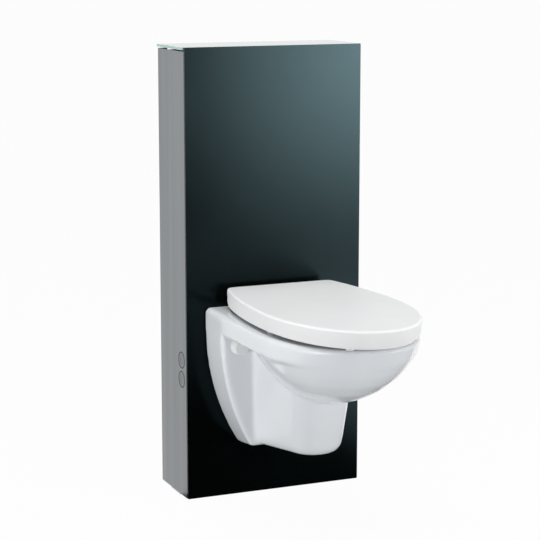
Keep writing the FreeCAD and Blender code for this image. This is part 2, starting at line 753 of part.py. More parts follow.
seat_plate = plan_form("seat_plate", "(lid_wall + seat_clear)", "seat_back", (SEAT_LOW, SEAT_TOP), "seat_edge")
seat_ring = cut(
    "seat_ring", fuse("seat_with_lugs", seat_plate, *seat_lugs),
    oval_prism("seat_hole", "seat_opening/2", "(seat_opening_front - seat_opening_back)/2",
               f"{FRONT} - (seat_opening_front + seat_opening_back)/2", ("rim_height", LID_TOP)),
    pin_bores[0])

buffer_rows = {"buffer_side": "buffer_side_reach", "buffer_nose": "buffer_nose_reach"}
buffer_spots = [(x, f"{FRONT} - {y}") for side, y in buffer_rows.items() for x in middle(side)]
seat_buffers = fuse("seat_buffers", *[
    rod(f"seat_buffer_{number}", "buffer_radius", "Z", spot, ("rim_height", SEAT_LOW))
    for number, spot in enumerate(buffer_spots)])
lid_buffers = fuse("lid_buffers", *[
    rod(f"lid_buffer_{number}", "buffer_radius", "Z", spot, (f"{SEAT_TOP} + buffer_play", LID_ROOF))
    for number, spot in enumerate(buffer_spots)])

corner_x = "(lid_back_width/2 + lid_corner_ease - lid_corner)"
corner_y = f"({FRONT} - lid_back - lid_corner)"
lid_corners = pair("lid_corner_piece", lambda name: cut(
    name,
    block(name + "_block", (f"-{corner_x} - 2*lid_corner", f"-{corner_x}"), (corner_y, "0"),
          ("0", f"2*{LID_TOP}")),
    rod(name + "_round", "lid_corner", "Z", (f"-{corner_x}", corner_y), ("-lid_corner", f"3*{LID_TOP}"))))
lid_shell = plan_form("lid_shell", "0", "lid_back", (LID_LOW, LID_TOP), "lid_edge")
lid = cut(
    "lid",
    fuse("lid_with_lugs",
         cut("lid_cup", lid_shell,
             plan_form("lid_hollow", "lid_wall", "(lid_back + lid_wall)", ("rim_height", LID_ROOF)),
             block("lid_tail_gap", middle("lid_back_width/2 - lid_corner"), (HINGE_Y, "0"),
                   ("rim_height", LID_ROOF)),
             block("lid_heel_gap", middle(LID_WIDTH), (f"{HINGE_Y} + pin_radius", "0"),
                   ("rim_height", f"{HINGE_LEVEL} - lid_heel")),
             *lid_corners),
         *lid_lugs),
    pin_bores[1])

left_hinge_post = fuse(
    "left_hinge_post",
    block("left_post", (POST_LEFT, POST_RIGHT), (f"{HINGE_Y} - hinge_radius", f"{HINGE_Y} + hinge_radius"),
          ("rim_height", HINGE_LEVEL)),
    rod("left_post_head", "hinge_radius", "X", (HINGE_Y, HINGE_LEVEL), (POST_LEFT, POST_RIGHT)),
    rod("left_pin", "pin_radius", "X", (HINGE_Y, HINGE_LEVEL),
        (f"{POST_LEFT} - lug_play - lug_width", f"{POST_RIGHT} + lug_play + lug_width")))
right_hinge_post = mirrored("right_hinge_post", left_hinge_post)


# Cabinet skin, folded side panels with a glass front bonded to their returns and a glass cover on pads
def panel(name):
    inner_return = f"panel_return - {SIDE}"
    return padded(name, "XY_Plane", [
        (f"-{SIDE}", GLASS_BACK), (inner_return, GLASS_BACK), (inner_return, RETURN_BACK),
        (f"-{INNER}", RETURN_BACK), (f"-{INNER}", f"{BACK} - panel_thickness"),
        (inner_return, f"{BACK} - panel_thickness"), (inner_return, BACK), (f"-{SIDE}", BACK)],
        f"{FRAME_TOP} - floor_gap", "floor_gap")


button_levels = {"full": "full_button_level", "half": "half_button_level"}
left_side_panel = cut("left_side_panel", panel("left_panel_sheet"), *[
    rod(f"{name}_panel_hole", "button_radius + button_gap", "X", (BUTTON_Y, level), (f"-2*{SIDE}", "0"))
    for name, level in button_levels.items()])
right_side_panel = mirrored("right_side_panel", panel("right_panel_sheet"))

front_glass = cut(
    "front_glass",
    rounded("glass_sheet",
            block("glass_block", middle(SIDE), (FRONT, GLASS_BACK), ("floor_gap", "cabinet_height")),
            "glass_corner", lambda box: near(box.YLength, "glass_thickness") and box.XLength < 1e-4),
    rod("glass_inlet", "flush_radius + bore_clearance", "Y", ("0", INLET), (f"2*{FRONT}", "0")),
    rod("glass_outlet", "waste_radius + bore_clearance/2", "Y", ("0", OUTLET), (f"2*{FRONT}", "0")),
    *[rod(f"glass_bolt_{number}", "bolt_radius + bolt_clearance", "Y", (x, BOLT), (f"2*{FRONT}", "0"))
      for number, x in enumerate(middle("bolt_spread/2"))])
top_glass = block("top_glass", middle(f"{SIDE} + cover_overhang"), (GLASS_BACK, BACK),
                  (COVER_UNDER, "cabinet_height"))

angle_y = (RETURN_BACK, f"{RETURN_BACK} + angle_leg")
web_y = (RETURN_BACK, f"{RETURN_BACK} + angle_wall")
upper_cross_angle = fuse(
    "upper_cross_angle",
    block("upper_angle_web", middle(INNER), web_y, (f"{FRAME_TOP} - angle_leg", FRAME_TOP)),
    block("upper_angle_leg", middle(INNER), angle_y, (f"{FRAME_TOP} - angle_wall", FRAME_TOP)))
lower_cross_angle = fuse(
    "lower_cross_angle",
    block("lower_angle_web", middle(INNER), web_y, ("floor_gap", "floor_gap + angle_leg")),
    block("lower_angle_leg", middle(INNER), angle_y, ("floor_gap", "floor_gap + angle_wall")))

pad_spots = [(x, "0") for x in middle(f"({INNER} - tube_size/2)")]
pad_spots += [(x, f"{RETURN_BACK} + angle_leg/2") for x in middle(f"({INNER} - pad_inset)")]
cover_pads = fuse("cover_pads", *[
    block(f"cover_pad_{number}", (f"{x} - pad_size/2", f"{x} + pad_size/2"),
          (f"{y} - pad_size/2", f"{y} + pad_size/2"), (FRAME_TOP, COVER_UNDER))
    for number, (x, y) in enumerate(pad_spots)])

# Flush buttons, discs level with the left panel that slide in a housing behind it
pieces = {}
for name, level in button_levels.items():
    pieces[f"{name}_flush_button"] = turned(
        f"{name}_flush_button",
        [("0", "0"), ("button_radius", "0"), ("button_radius", "button_thickness"),
         ("stem_radius", "button_thickness"), ("stem_radius", "button_thickness + stem_length"),
         ("0", "button_thickness + stem_length")],
        "X", f"-{SIDE}", BUTTON_Y, level)
    bore = "button_radius + button_gap"
    pieces[f"{name}_flush_housing"] = turned(
        f"{name}_flush_housing",
        [("stem_radius + stem_clearance", "housing_length - housing_wall"),
         (bore, "housing_length - housing_wall"), (bore, "0"), (bore + " + housing_wall", "0"),
         (bore + " + housing_wall", "housing_length"),
         ("stem_radius + stem_clearance", "housing_length")],
        "X", f"-{INNER}", BUTTON_Y, level)

pieces.update({
    "floor_rail": floor_rail, "left_upright": left_upright, "right_upright": right_upright,
    "top_rail": top_rail, "cistern_shelf": cistern_shelf,
    "pan_bearer": pan_bearer, "waste_bearer": waste_bearer,
    "left_wall_bracket": left_wall_bracket, "right_wall_bracket": right_wall_bracket,
    "cistern": cistern, "flush_nut": flush_nut, "flush_pipe": flush_pipe, "water_inlet": water_inlet,
    "waste_connector": waste_connector, "waste_clip": waste_clip,
    "waste_seal": waste_seal, "inlet_seal": inlet_seal,
    "left_pan_rod": left_pan_rod, "right_pan_rod": right_pan_rod,
    "left_fixing_cap": left_fixing_cap, "right_fixing_cap": right_fixing_cap, "sound_mat": sound_mat,
    "pan": pan, "seat_ring": seat_ring, "seat_buffers": seat_buffers, "lid": lid, "lid_buffers": lid_buffers,
    "left_hinge_post": left_hinge_post, "right_hinge_post": right_hinge_post,
    "left_side_panel": left_side_panel, "right_side_panel": right_side_panel,
    "front_glass": front_glass, "top_glass": top_glass, "cover_pads": cover_pads,
    "upper_cross_angle": upper_cross_angle, "lower_cross_angle": lower_cross_angle,
})
doc.recompute()

for item in doc.Objects:
    sound = item.Shape.isValid() if item.isDerivedFrom("Part::Feature") and not item.Shape.isNull() else True
    if not sound or "Invalid" in item.State or "Error" in item.State:
        raise RuntimeError(f"{item.Name} did not build: {item.State}")
os.makedirs("parts", exist_ok=True)
for name, item in pieces.items():
    item.Label = name
    if item.Shape.isNull() or not item.Shape.isValid() or not item.Shape.Solids:
        raise RuntimeError(f"{name} has no sound solid")
    item.Shape.exportStep(f"parts/{name}.step")
    print(name, len(item.Shape.Solids), round(item.Shape.Volume / 1000, 1))
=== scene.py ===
# %% [markdown]
# # A wall hung toilet on a glass fronted cistern cabinet
# The solids of this toilet were built as CAD and packed as one frame. Blender never moves them. It adds
# what makes them look real: glaze on the pan, brushing on the aluminium, soft edges, small fixings and
# studio light. Everything is in metres, with X to the right, Y back to the wall and Z up from the floor.

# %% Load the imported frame
import json
import math

import bpy
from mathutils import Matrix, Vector

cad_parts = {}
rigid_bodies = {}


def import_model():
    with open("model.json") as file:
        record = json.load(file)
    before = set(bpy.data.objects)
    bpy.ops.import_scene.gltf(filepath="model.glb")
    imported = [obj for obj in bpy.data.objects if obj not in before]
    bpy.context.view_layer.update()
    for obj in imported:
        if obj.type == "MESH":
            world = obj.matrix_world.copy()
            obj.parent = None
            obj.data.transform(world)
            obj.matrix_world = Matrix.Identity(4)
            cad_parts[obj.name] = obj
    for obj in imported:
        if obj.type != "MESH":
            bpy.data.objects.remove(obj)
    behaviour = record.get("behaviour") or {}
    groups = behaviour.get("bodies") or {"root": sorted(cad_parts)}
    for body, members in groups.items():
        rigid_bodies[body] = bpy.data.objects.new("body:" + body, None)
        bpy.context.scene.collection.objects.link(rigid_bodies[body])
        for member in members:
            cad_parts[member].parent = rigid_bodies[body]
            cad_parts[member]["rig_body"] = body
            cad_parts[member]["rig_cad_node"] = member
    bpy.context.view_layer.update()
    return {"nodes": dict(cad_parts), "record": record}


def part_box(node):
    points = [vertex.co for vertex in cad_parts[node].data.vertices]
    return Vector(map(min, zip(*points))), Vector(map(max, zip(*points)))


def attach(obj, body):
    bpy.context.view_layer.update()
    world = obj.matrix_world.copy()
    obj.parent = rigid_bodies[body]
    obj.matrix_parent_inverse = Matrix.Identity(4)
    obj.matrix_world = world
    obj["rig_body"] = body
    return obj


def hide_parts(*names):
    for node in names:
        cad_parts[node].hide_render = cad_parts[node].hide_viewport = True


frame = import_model()
nodes = frame["nodes"]

# %% [markdown]
# ## The camera
# The photograph was taken a little above the pan and from the left. The camera's place and lens were
# found by fitting the corners of the cabinet and the outline of the lid, so they are typed here as plain
# numbers.

# %% Set up the camera
QUARTER = math.pi / 2
CAMERA_PLACE = (-1.571, -3.720, 1.229)
CAMERA_DOWN = math.radians(10.27)
CAMERA_RIGHT = math.radians(23.23)
CAMERA_LENS = 120.07
SENSOR = 36.0

bpy.ops.object.select_all(action="DESELECT")
bpy.ops.object.camera_add(location=CAMERA_PLACE, rotation=(QUARTER - CAMERA_DOWN, 0, -CAMERA_RIGHT))
camera = bpy.context.object
camera.data.lens, camera.data.sensor_width = CAMERA_LENS, SENSOR
bpy.context.scene.camera = camera
bpy.context.scene.view_settings.view_transform = "Standard"
print("lens", camera.data.lens)

# %% [markdown]
# ## Shader maths as sums
# A node tree soon turns into a web of Math nodes. One small class holds a socket and adds a Math node
# whenever two of them are added or multiplied, and one method makes any other node, so a finish reads
# like a formula.

# %% Wrap sockets and node trees
# Most of a noise lies between these two values.
NOISE_LOW, NOISE_HIGH = 0.3, 0.7
# The sockets of a Mix node that mixes colours.
MIX_SHARE, MIX_FIRST, MIX_SECOND, MIX_RESULT = 0, 6, 7, 2


class Signal:
    """A value that runs through a node tree."""

    def __init__(self, tree, socket):
        self.tree, self.socket = tree, socket

    def maths(self, operation, *values):
        return self.tree.node("ShaderNodeMath", {"operation": operation}, dict(enumerate(values)))

    def __add__(self, other):
        return self.maths("ADD", self, other)

    def __mul__(self, other):
        return self.maths("MULTIPLY", self, other)

    def __gt__(self, other):
        return self.maths("GREATER_THAN", self, other)

    def __abs__(self):
        return self.maths("ABSOLUTE", self)

    def larger(self, other):
        return self.maths("MAXIMUM", self, other)

    __radd__, __rmul__ = __add__, __mul__


class Tree:
    """A node tree with one way to make a node: its type, its settings, then its sockets."""

    def __init__(self, tree):
        self.nodes, self.links = tree.nodes, tree.links

    def node(self, kind, settings=None, sockets=None, output=0):
        made = self.nodes.new(kind)
        for name, value in (settings or {}).items():
            if name == "stops":
                self.stops(made.color_ramp, value)
            else:
                setattr(made, name, value)
        for name, value in (sockets or {}).items():
            self.feed(made.inputs[name], value)
        return Signal(self, made.outputs[output])

    def feed(self, socket, value):
        if isinstance(value, Signal):
            self.links.new(value.socket, socket)
        else:
            socket.default_value = value

    def stops(self, ramp, stops):
        while len(ramp.elements) < len(stops):
            ramp.elements.new(1.0)
        for element, (place, colour) in zip(ramp.elements, stops):
            element.position, element.color = place, (*colour, 1.0)


class Finish(Tree):
    """A material with its own Principled surface."""

    def __init__(self, name, **surface):
        self.material = bpy.data.materials.new(name)
        self.material.use_nodes = True
        super().__init__(self.material.node_tree)
        self.surface = self.nodes["Principled BSDF"]
        self.place = self.node("ShaderNodeTexCoord", output="Object")
        for words, value in surface.items():
            self.set(words.replace("_", " ").title().replace("Ior", "IOR"), value)

    def set(self, socket, value):
        if isinstance(value, tuple):
            value = (*value, 1.0)
        self.feed(self.surface.inputs[socket], value)

    def axis(self, name):
        return self.node("ShaderNodeSeparateXYZ", None, {"Vector": self.place}, output=name)

    def stretched(self, scale):
        """The place on the piece, stretched before a pattern reads it."""
        return self.node("ShaderNodeMapping", None, {"Vector": self.place, "Scale": scale})

    def noise(self, scale, detail=3.0, roughness=0.5, place=None):
        return self.node("ShaderNodeTexNoise", None, {
            "Vector": place or self.place, "Scale": scale, "Detail": detail, "Roughness": roughness})

    def spread(self, value, *stops):
        """A colour for each value, from stops of a value and its colour."""
        return self.node("ShaderNodeValToRGB", {"stops": stops}, {"Fac": value})

    def range(self, value, low, high, new_low, new_high, kind="LINEAR"):
        return self.node("ShaderNodeMapRange", {"interpolation_type": kind}, {
            "Value": value, "From Min": low, "From Max": high, "To Min": new_low, "To Max": new_high})

    def ease(self, *values):
        """The same as range, but starting and stopping softly."""
        return self.range(*values, kind="SMOOTHSTEP")

    def mixed(self, share, first, second):
        """The first colour where the share is nothing, and the second where it is one."""
        first, second = (value if isinstance(value, Signal) else (*value, 1.0) for value in (first, second))
        sockets = {MIX_SHARE: share, MIX_FIRST: first, MIX_SECOND: second}
        return self.node("ShaderNodeMix", {"data_type": "RGBA"}, sockets, output=MIX_RESULT)

    def tint(self, pattern, dark, light, low=NOISE_LOW, high=NOISE_HIGH):
        """Lets the colour follow a pattern."""
        self.set("Base Color", self.spread(pattern, (low, dark), (high, light)))

    def wear(self, pattern, smooth, rough, low=NOISE_LOW, high=NOISE_HIGH):
        """Lets the roughness follow a pattern."""
        self.set("Roughness", self.range(pattern, low, high, smooth, rough))

    def bump(self, height, strength, distance):
        sockets = {"Height": height, "Strength": strength, "Distance": distance}
        self.set("Normal", self.node("ShaderNodeBump", None, sockets))


print("node helpers ready")

# %% [markdown]
# ## Glaze, lid plastic and other whites
# Sanitary ware is white clay under a thick clear glaze. The colour hardly changes, but the glaze pools a
# little and its surface waves very slightly, which is what breaks up the reflections. The lid is pressed
# thermoset with a satin surface. It is a warmer and brighter white than the pan.

# %% Make the whites
glaze = Finish("white_glaze", coat_weight=0.2, coat_roughness=0.06, ior=1.38)
glaze.tint(glaze.noise(7.0, detail=2.0), (0.765, 0.795, 0.825), (0.795, 0.82, 0.845))
glaze.wear(glaze.noise(38.0), 0.1, 0.2)
waves = glaze.noise(16.0, detail=1.0) + 0.25 * glaze.noise(90.0, detail=1.0)
glaze.bump(waves, strength=0.06, distance=0.002)

satin = Finish("satin_white", ior=1.25)
satin.tint(satin.noise(9.0), (0.825, 0.84, 0.845), (0.85, 0.86, 0.86))
satin.wear(satin.noise(14.0, detail=1.0), 0.5, 0.6)
satin.bump(satin.noise(24.0, detail=0.0), strength=0.02, distance=0.001)

soft_white = Finish("soft_white_rubber", ior=1.45)
soft_white.tint(soft_white.noise(30.0), (0.62, 0.63, 0.63), (0.7, 0.7, 0.69))
soft_white.wear(soft_white.noise(200.0), 0.6, 0.8)
soft_white.bump(soft_white.noise(700.0), strength=0.15, distance=0.0005)
print("whites", [item.material.name for item in (glaze, satin, soft_white)])

# %% [markdown]
# ## Glass
# The front is float glass with black paint behind it, so it shows the room as a dark mirror. The cover
# plate is the same glass left clear, and looking into a cut edge shows the green of the iron in it.

# %% Make the glasses
WIPED_HIGH = 0.75
black_glass = Finish("black_glass", ior=1.25, specular_tint=(0.56, 0.91, 1.0))
wiped = black_glass.noise(3.5, detail=5.0, roughness=0.6)
black_glass.tint(wiped, (0.0005, 0.0007, 0.0007), (0.0016, 0.0026, 0.0028), high=WIPED_HIGH)
black_glass.wear(wiped, 0.16, 0.22, high=WIPED_HIGH)

EDGE_SKIN = 0.0006
# The top face's pale grey green is partly the glass's own green and partly a painted reflection of the
# white room.
COVER_FACE_AND_SHEEN = (0.26, 0.34, 0.33)
COVER_DEEP, COVER_PALE = (0.4, 0.58, 0.54), (0.48, 0.66, 0.61)
cover_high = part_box("top_glass")[1]
cover_glass = Finish("cover_glass", ior=1.5)
side_edge = abs(cover_glass.axis("X")) > cover_high.x - EDGE_SKIN
back_edge = cover_glass.axis("Y") > cover_high.y - EDGE_SKIN
edge_green = cover_glass.spread(cover_glass.noise(25.0), (NOISE_LOW, COVER_DEEP), (NOISE_HIGH, COVER_PALE))
cover_glass.set("Base Color", cover_glass.mixed(side_edge.larger(back_edge), COVER_FACE_AND_SHEEN, edge_green))
cover_glass.wear(cover_glass.noise(40.0), 0.04, 0.1)

ground_edge = Finish("ground_glass_edge", ior=1.5)
ground_edge.tint(ground_edge.noise(30.0), (0.3, 0.36, 0.36), (0.42, 0.48, 0.48))
ground_edge.wear(ground_edge.noise(300.0), 0.3, 0.45)
print("cover half width", round(cover_high.x, 4))

# %% [markdown]
# ## Metals
# The side panels are aluminium brushed along their height. Brushing is noise stretched until it turns
# into fine lines, laid over slow bands where the belt pressed harder. The frame is zinc coated steel,
# with faint crystals.

# %% Make the metals
aluminium = Finish("brushed_aluminium", metallic=1.0)
lines = aluminium.noise(1.0, 3.0, 0.6, aluminium.stretched((900.0, 900.0, 5.0)))
bands = aluminium.noise(1.0, 2.0, 0.5, aluminium.stretched((26.0, 26.0, 0.6)))
aluminium.set("Base Color", aluminium.spread(
    0.55 * lines + 0.45 * bands,
    (0.3, (0.188, 0.199, 0.208)), (0.52, (0.243, 0.256, 0.266)), (0.75, (0.315, 0.33, 0.341))))
aluminium.wear(lines, 0.34, 0.5, low=0.25, high=0.75)
aluminium.bump(lines, strength=0.12, distance=0.0003)

zinc = Finish("zinc_steel", metallic=1.0)
crystals = zinc.node("ShaderNodeTexVoronoi", None, {"Vector": zinc.place, "Scale": 130.0}, output="Color")
crystal_shade = zinc.node("ShaderNodeSeparateColor", None, {"Color": crystals})
zinc_pattern = 0.5 * crystal_shade + 0.5 * zinc.noise(12.0)
zinc.tint(zinc_pattern, (0.42, 0.435, 0.45), (0.58, 0.59, 0.6), low=0.25, high=0.8)
zinc.wear(crystal_shade, 0.3, 0.48, low=0.0, high=1.0)

chrome = Finish("hinge_chrome", metallic=1.0)
chrome.tint(chrome.noise(20.0), (0.74, 0.75, 0.76), (0.8, 0.8, 0.81))
chrome.wear(chrome.noise(120.0, detail=4.0), 0.05, 0.14)

brass = Finish("machined_brass", metallic=1.0)
turning = brass.noise(1.0, 2.0, 0.5, brass.stretched((12.0, 1500.0, 12.0)))
brass.tint(turning, (0.55, 0.4, 0.17), (0.7, 0.53, 0.25))
brass.wear(turning, 0.2, 0.36)
print("metals", [item.material.name for item in (aluminium, zinc, chrome, brass)])

# %% [markdown]
# ## Plastics and rubber behind the glass
# The cistern is blow moulded, so it is matt with a faint orange peel. Pipes are smooth black plastic, and
# the seals are dull rubber.

# %% Make the plastics and the rubber
ROUGH_SPREAD = 0.07


def moulded(name, dark, light, roughness, grain):
    finish = Finish(name, ior=1.48)
    finish.tint(finish.noise(14.0, detail=4.0), dark, light)
    finish.wear(finish.noise(70.0), roughness - ROUGH_SPREAD, roughness + ROUGH_SPREAD)
    finish.bump(finish.noise(grain, detail=2.0), strength=0.16, distance=0.0005)
    return finish


tank = moulded("moulded_tank", (0.055, 0.06, 0.066), (0.085, 0.09, 0.097), 0.55, 420.0)
pipe = moulded("black_pipe", (0.016, 0.016, 0.017), (0.028, 0.028, 0.03), 0.38, 600.0)
rubber = moulded("black_rubber", (0.018, 0.018, 0.018), (0.032, 0.032, 0.031), 0.75, 900.0)
print("plastics", [item.material.name for item in (tank, pipe, rubber)])

# %% [markdown]
# ## Dress the CAD nodes
# A CAD edge is perfectly sharp and so never catches light. Each node gets a Weld, which joins its loose
# triangles, and a narrow Bevel, which rounds every sharp edge. The front glass shows a ground edge there.
# The meshes themselves stay as they were packed.

# %% Give each node its finish and soft edges
FINISHES = {
    "black_glass": black_glass, "cover_glass": cover_glass, "brushed_aluminium": aluminium,
    "zinc_steel": zinc, "tank_plastic": tank, "pipe_plastic": pipe, "brass": brass, "black_rubber": rubber,
    "white_rubber": soft_white, "white_ceramic": glaze, "white_plastic": satin, "hinge_chrome": chrome,
}
EDGES = {
    "front_glass": 0.0014, "top_glass": 0.0008, "left_side_panel": 0.0006, "right_side_panel": 0.0006,
    "lid": 0.0024, "seat_ring": 0.002, "left_fixing_cap": 0.003, "right_fixing_cap": 0.003,
}
EDGE_USUAL, EDGE_STEPS = 0.0005, 3
SHARP = math.radians(32)
WELD_REACH = 1e-6

slot_of = {row["node"]: row["material_slot"] for row in frame["record"]["subparts"]}
for name, item in nodes.items():
    item.data.materials.clear()
    item.data.materials.append(FINISHES[slot_of[name]].material)
    item.modifiers.new("weld", "WELD").merge_threshold = WELD_REACH
    bevel = item.modifiers.new("soft_edge", "BEVEL")
    bevel.width, bevel.segments = EDGES.get(name, EDGE_USUAL), EDGE_STEPS
    bevel.limit_method, bevel.angle_limit, bevel.harden_normals = "ANGLE", SHARP, True
nodes["front_glass"].data.materials.append(ground_edge.material)
nodes["front_glass"].modifiers["soft_edge"].material = 1
print("dressed", len(nodes), "nodes")

# %% [markdown]
# ## Small tools for shaping
# Most of the pieces that follow are made the same way: take a copy of a node or add a simple form, pick
# some of its faces, inset and move them, round the edges, and fit the piece out with its name, finish and
# body.

# %% Make the shaping tools
UP = 0.9


def start_clean():
    if bpy.context.object and bpy.context.object.mode != "OBJECT":
        bpy.ops.object.mode_set(mode="OBJECT")
    bpy.ops.object.select_all(action="DESELECT")


def choose(*pieces):
    """Selects these pieces alone and makes the first one active."""
    start_clean()
    for piece in pieces:
        piece.select_set(True)
    bpy.context.view_layer.objects.active = pieces[0]


def take(node):
    """A loose copy of a CAD node with its triangles merged into one skin."""
    choose(nodes[node])
    bpy.ops.object.duplicate()
    bpy.ops.object.parent_clear(type="CLEAR_KEEP_TRANSFORM")
    piece = bpy.context.object
    piece.modifiers.clear()
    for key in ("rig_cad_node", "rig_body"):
        del piece[key]
    bpy.ops.object.mode_set(mode="EDIT")
    bpy.ops.mesh.select_all(action="SELECT")
    bpy.ops.mesh.remove_doubles(threshold=WELD_REACH)
    bpy.ops.object.mode_set(mode="OBJECT")
    return piece


def pick(piece, test):
    """Goes into edit mode with only the faces selected that pass a test on their centre and normal."""
    bpy.context.view_layer.objects.active = piece
    bpy.ops.object.mode_set(mode="EDIT")
    bpy.ops.mesh.select_mode(type="FACE")
    bpy.ops.mesh.select_all(action="DESELECT")
    bpy.ops.object.mode_set(mode="OBJECT")
    for face in piece.data.polygons:
        face.select = test(face.center, face.normal)
    bpy.ops.object.mode_set(mode="EDIT")


def top_faces(centre, normal):
    return normal.z > UP


def apply(piece, kind, **settings):
    modifier = piece.modifiers.new(kind.lower(), kind)
    for key, value in settings.items():
        setattr(modifier, key, value)
    bpy.context.view_layer.objects.active = piece
    bpy.ops.object.modifier_apply(modifier=modifier.name)


def shaded(piece, angle=35):
    choose(piece)
    bpy.ops.object.shade_smooth_by_angle(angle=math.radians(angle))


def rounded(piece, width):
    """Rounds the sharp edges of a piece for good."""
    apply(piece, "BEVEL", width=width, segments=EDGE_STEPS, limit_method="ANGLE", angle_limit=SHARP)
    shaded(piece)


def fit_out(piece, name, body, slot):
    """Gives a finished piece its name, its place in the mesh, its finish and the body that it rides."""
    piece.name = piece.data.name = name
    choose(piece)
    bpy.ops.object.transform_apply(location=True, rotation=True, scale=True)
    piece.data.materials.clear()
    piece.data.materials.append(FINISHES[slot].material)
    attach(piece, body)


print("shaping tools ready")

# %% [markdown]
# ## The pan in one skin
# A pan is slip cast, so nothing on it has a sharp edge: every form runs into the next in a soft hollow. A
# copy of the solid is turned into small even cubes by a voxel remesh and then relaxed by a Smooth
# modifier. That melts the edges and the joints between the forms, as the slip and the glaze do. The flat
# bands of the bowl need more, so a second Smooth works there alone, on a group of vertices whose weight
# fades out towards the rim, the root and the trap.

# %% Melt the pan
PAN_VOXEL = 0.004
PAN_RELAX, BOWL_RELAX, RELAX_SHARE = 14, 40, 0.5
# Where the weight of the bowl is nothing, and where it is full.
BOWL_TOP, BOWL_FOOT, BOWL_BACK = (0.404, 0.385), (0.296, 0.316), (-0.21, -0.27)


def fade(value, none, full):
    """Nothing at one place, one at the other and beyond it."""
    return min(max((value - none) / (full - none), 0.0), 1.0)


pan_skin = take("pan")
apply(pan_skin, "REMESH", mode="VOXEL", voxel_size=PAN_VOXEL)
apply(pan_skin, "SMOOTH", factor=RELAX_SHARE, iterations=PAN_RELAX)
bowl_wall = pan_skin.vertex_groups.new(name="bowl_wall")
for vertex in pan_skin.data.vertices:
    level = fade(vertex.co.z, *BOWL_TOP) * fade(vertex.co.z, *BOWL_FOOT)
    bowl_wall.add([vertex.index], level * fade(vertex.co.y, *BOWL_BACK), "REPLACE")
apply(pan_skin, "SMOOTH", factor=RELAX_SHARE, iterations=BOWL_RELAX, vertex_group="bowl_wall")
bpy.ops.object.shade_smooth()
fit_out(pan_skin, "pan_skin", "cabinet", "white_ceramic")
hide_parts("pan")
print("pan faces", len(pan_skin.data.polygons))

# %% [markdown]
# ## Anchor bolts
# Four bolts hold the floor rail down and two hold the brackets to the wall. A bolt head is a six sided
# bar whose end is turned to a cone, so the top face of a six sided cylinder is inset and lifted. A thin
# washer made the same way joins it below.

# %% Make the bolts
HEX = 6
HEAD_RADIUS, HEAD_HEIGHT, HEAD_CONE, HEAD_RISE = 0.0092, 0.0064, 0.0011, 0.00066
WASHER_RADIUS, WASHER_HEIGHT, WASHER_ROUND, WASHER_SIDES = 0.0108, 0.0018, 0.0006, 40
ANCHOR_X, ANCHOR_Y, RAIL_FLOOR = 0.140, 0.013, 0.004
WALL_ANCHOR_X, BRACKET_WALL = 0.146, 0.004


def cone_ended(sides, radius, height, cone, rise, foot):
    """A cylinder that stands at a height, with its top face inset and lifted to a cone."""
    start_clean()
    bpy.ops.mesh.primitive_cylinder_add(vertices=sides, radius=radius, depth=height,
                                        location=(0, 0, foot + height / 2))
    made = bpy.context.object
    pick(made, top_faces)
    bpy.ops.mesh.inset(thickness=cone)
    bpy.ops.transform.translate(value=(0, 0, rise))
    bpy.ops.object.mode_set(mode="OBJECT")
    return made


def bolt(name, foot, turn):
    head = cone_ended(HEX, HEAD_RADIUS, HEAD_HEIGHT, HEAD_CONE, HEAD_RISE, WASHER_HEIGHT)
    washer = cone_ended(WASHER_SIDES, WASHER_RADIUS, WASHER_HEIGHT, WASHER_ROUND, WASHER_ROUND / 2, 0)
    choose(head, washer)
    bpy.ops.object.join()
    bpy.ops.object.transform_apply(location=True, rotation=True, scale=True)
    made = bpy.context.object
    shaded(made)
    made.rotation_euler = turn
    made.location = foot
    fit_out(made, name, "cabinet", "zinc_steel")


for side, sign in (("left", -1), ("right", 1)):
    for row, y in (("front", -ANCHOR_Y), ("back", ANCHOR_Y)):
        bolt(f"{side}_{row}_floor_bolt", (sign * ANCHOR_X, y, RAIL_FLOOR), (0, 0, 0))
    plate_low, plate_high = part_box(f"{side}_wall_bracket")
    wall_foot = (sign * WALL_ANCHOR_X, plate_high.y - BRACKET_WALL, (plate_low.z + plate_high.z) / 2)
    bolt(f"{side}_wall_bolt", wall_foot, (QUARTER, 0, 0))

# %% [markdown]
# ## The lid's lower edge
# The lid's skirt is less tall at its front and leans in towards its lower edge, so a dark line shows
# above the rim. On a copy of the lid the flat face under the skirt is tilted about the back of the lid
# and drawn in a little. A Bevel then rounds every edge.

# %% Tilt and draw in the lid's skirt
SKIRT_LIFT, SKIRT_LEAN, SKIRT_SKIN = 0.007, 0.0035, 0.0007
lid_low, lid_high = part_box("lid")
lid_length = lid_high.y - lid_low.y
skirt_back = (0, lid_high.y, lid_low.z)
lid_skin = take("lid")
pick(lid_skin, lambda centre, normal: centre.z < lid_low.z + SKIRT_SKIN and normal.z < -UP)
bpy.ops.transform.rotate(value=SKIRT_LIFT / lid_length, orient_axis="X", center_override=skirt_back)
bpy.ops.transform.resize(value=(1 - SKIRT_LEAN / lid_high.x, 1 - SKIRT_LEAN / lid_length, 1),
                         center_override=skirt_back)
bpy.ops.object.mode_set(mode="OBJECT")
rounded(lid_skin, EDGES["lid"])
fit_out(lid_skin, "lid_skin", "lid", "white_plastic")
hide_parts("lid")
print("skirt lifted", SKIRT_LIFT, "at the front, over", round(lid_length, 3))

# %% [markdown]
# ## Threads and pipe lips
# The ends of the pan rods and of the water inlet are threaded, and the waste pipe has two lips that a
# seal slides over. Each is a row of rings: one ring is added at its size, an Array modifier repeats it
# along the pipe, and the row is turned into a mesh. A row is given by how far it starts and stops from
# the pipe's end.

# %% Make the rows of rings
ROD_THREAD = {"start": 0.024, "stop": 0.001, "radius": 0.006, "wire": 0.0005, "count": 14}
INLET_THREAD = {"start": 0.0175, "stop": 0.001, "radius": 0.0105, "wire": 0.0006, "count": 10}
WASTE_LIPS = {"start": 0.020, "stop": 0.008, "radius": 0.045, "wire": 0.0013, "count": 2, "turns": 96}


